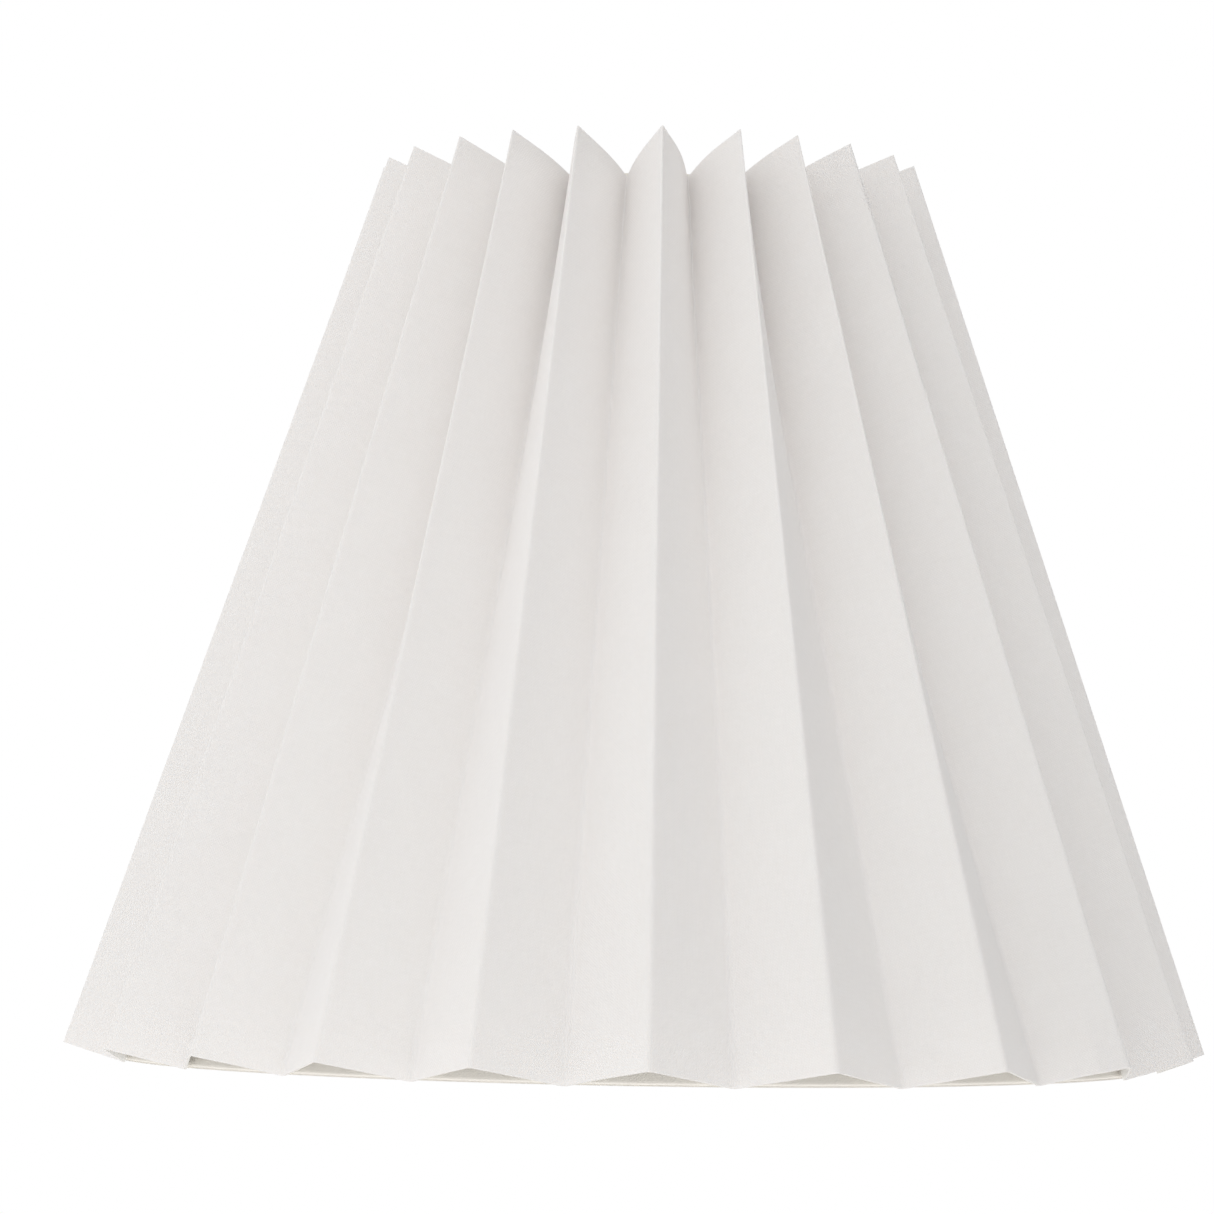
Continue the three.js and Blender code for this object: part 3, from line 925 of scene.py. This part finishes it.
def spider_hub():
    """A pressed cup with rounded edges and a pierced floor, carried round the axis."""
    floor_z = HUB_FLOOR_Z + HUB_WALL
    inner = HUB_RADIUS - HUB_WALL
    corners = [
        (HUB_HOLE, (HUB_FLOOR_Z + floor_z) / 2), (HUB_HOLE, HUB_FLOOR_Z), (HUB_RADIUS, HUB_FLOOR_Z),
        (HUB_RADIUS, HUB_RIM_Z), (inner, HUB_RIM_Z), (inner, floor_z), (HUB_HOLE, floor_z),
        (HUB_HOLE, (HUB_FLOOR_Z + floor_z) / 2),
    ]
    profile = rounded_line(corners, np.array([0.25, 1.3, 0.8, 0.8, 0.9, 0.25]) * MM, 9)[:-1]
    hub = turned_piece("spider_hub_cup", profile[::-1], HUB_SEGMENTS, [PAINT])
    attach(hub, "root")
    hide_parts("spider_hub")


def spider_arm(index, place):
    """A wire from the top ring to the hub: level, a sloping drop, level again. It thickens
    into a weld bead at each end."""
    node = f"spider_arm_{index + 1}"
    arm_z = HUB_FLOOR_Z + (HUB_RIM_Z - HUB_FLOOR_Z) / 2
    outer = TOP_RING - TOP_WIRE * 0.3
    inner = HUB_RADIUS - 0.4 * MM
    bend_out = TOP_RING - TOP_WIRE / 2 - SEAT_GAP - ARM_LEVEL_END
    bend_in = HUB_RADIUS + SEAT_GAP + ARM_LEVEL_END
    line = rounded_line(
        [(outer, TOP_RING_Z), (bend_out, TOP_RING_Z), (bend_in, arm_z), (inner, arm_z)],
        [ARM_BEND, ARM_BEND], 12,
    )
    full = travelled(line)[-1]
    ends = np.linspace(0, 1, 17) ** 1.5 * 5 * MM
    between = np.linspace(ARM_END, full - ARM_END, 44)[1:-1]
    travel = np.concatenate([ends, between, full - ends[::-1]])
    line = points_along(line, travel)
    path = around_axis(line[:, 0], place, line[:, 1])
    off = np.minimum(travel, full - travel)
    girth = ARM_WIRE / 2 * (1 + BEAD_BULGE * np.exp(-(((off - BEAD_PLACE) / BEAD_SPREAD) ** 2)))
    girth = girth * np.sqrt(np.clip(1 - (1 - np.clip(off / ARM_TIP, 0, 1)) ** 2, 0.02, 1))
    arm = tube_piece(node + "_wire", path, girth, WIRE_SIDES, [PAINT])
    close_ends(arm)
    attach(arm, "root")
    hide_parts(node)


spider_hub()
for index, place in enumerate(ARM_PLACES):
    spider_arm(index, place)


# ---------------------------------------------------------------- stage and light

FLOOR_DROP = 1.3                # how far the shade is above the floor, on a lamp on a table
FLOOR_HALF = 6.0
FLOOR_GREY = 0.85
FLOOR_GLOW = 0.5


def floor_surface():
    """Plain pale and matt, with a glow of its own that lights the shade from below."""
    graph = Graph("floor")
    graph.shader.inputs["Base Color"].default_value = tone(FLOOR_GREY, FLOOR_GREY, FLOOR_GREY)
    graph.shader.inputs["Roughness"].default_value = 0.9
    graph.shader.inputs["Emission Color"].default_value = tone(1, 1, 1)
    graph.shader.inputs["Emission Strength"].default_value = FLOOR_GLOW
    return graph.material


def floor():
    """One wide, flat square."""
    height = cad_box[0][2] - FLOOR_DROP
    points = np.array([
        (-FLOOR_HALF, -FLOOR_HALF, height), (FLOOR_HALF, -FLOOR_HALF, height),
        (FLOOR_HALF, FLOOR_HALF, height), (-FLOOR_HALF, FLOOR_HALF, height),
    ])
    plane = new_piece("floor", points, np.array([[0, 1, 2, 3]]), [floor_surface()])


# The room's brightness from the shade's left, -X, to its right, +X, as shares of the way
# across and what is there: even over the left half, then darker towards the far right.
ROOM = [(0.0, 0.835), (0.5, 0.825), (0.84, 0.66), (0.93, 0.36), (0.99, 0.18)]
ROOM_WARMTH = (1.0, 0.992, 0.983)


def studio_room():
    """A soft white room. What the camera sees of it directly is plain white."""
    world = bpy.data.worlds.new("studio")
    world.use_nodes = True
    tree = world.node_tree
    place = tree.nodes.new("ShaderNodeTexCoord")
    parts = tree.nodes.new("ShaderNodeSeparateXYZ")
    across = tree.nodes.new("ShaderNodeMapRange")
    across.inputs["From Min"].default_value = -1.0
    walls = tree.nodes.new("ShaderNodeValToRGB")
    stops = walls.color_ramp.elements
    while len(stops) < len(ROOM):
        stops.new(0.5)
    for stop, (share, bright) in zip(stops, ROOM):
        stop.position = share
        stop.color = tone(*(bright * part for part in ROOM_WARMTH))
    path = tree.nodes.new("ShaderNodeLightPath")
    seen = tree.nodes.new("ShaderNodeMix")
    seen.data_type = "RGBA"
    seen.inputs[7].default_value = tone(1, 1, 1)
    tree.links.new(place.outputs["Generated"], parts.inputs[0])
    tree.links.new(parts.outputs[0], across.inputs["Value"])
    tree.links.new(across.outputs[0], walls.inputs["Fac"])
    tree.links.new(walls.outputs["Color"], seen.inputs[6])
    tree.links.new(path.outputs["Is Camera Ray"], seen.inputs["Factor"])
    tree.links.new(seen.outputs[2], tree.nodes["Background"].inputs["Color"])
    bpy.context.scene.world = world


KEY_PLACE = (-0.3, -1.0, 0.85)
KEY_SIZE = (0.8, 0.8)
KEY_POWER = 0.6
SHADE_MIDDLE = (0, 0, 0.14)


def softbox(name, place, target, size, power, colour):
    """A rectangular area light that faces its target."""
    lamp = bpy.data.lights.new(name, "AREA")
    lamp.shape = "RECTANGLE"
    lamp.size, lamp.size_y = size
    lamp.energy = power
    lamp.color = colour
    box = bpy.data.objects.new(name, lamp)
    box.location = place
    direction = Vector(target) - Vector(place)
    box.rotation_euler = direction.to_track_quat("-Z", "Y").to_euler()
    bpy.context.scene.collection.objects.link(box)


def light():
    """The room, and one soft light from the front and above."""
    studio_room()
    softbox("key", KEY_PLACE, SHADE_MIDDLE, KEY_SIZE, KEY_POWER, (1.0, 1.0, 1.0))
    scene = bpy.context.scene
    scene.view_settings.view_transform = "Standard"
    scene.view_settings.look = "None"


floor()
light()
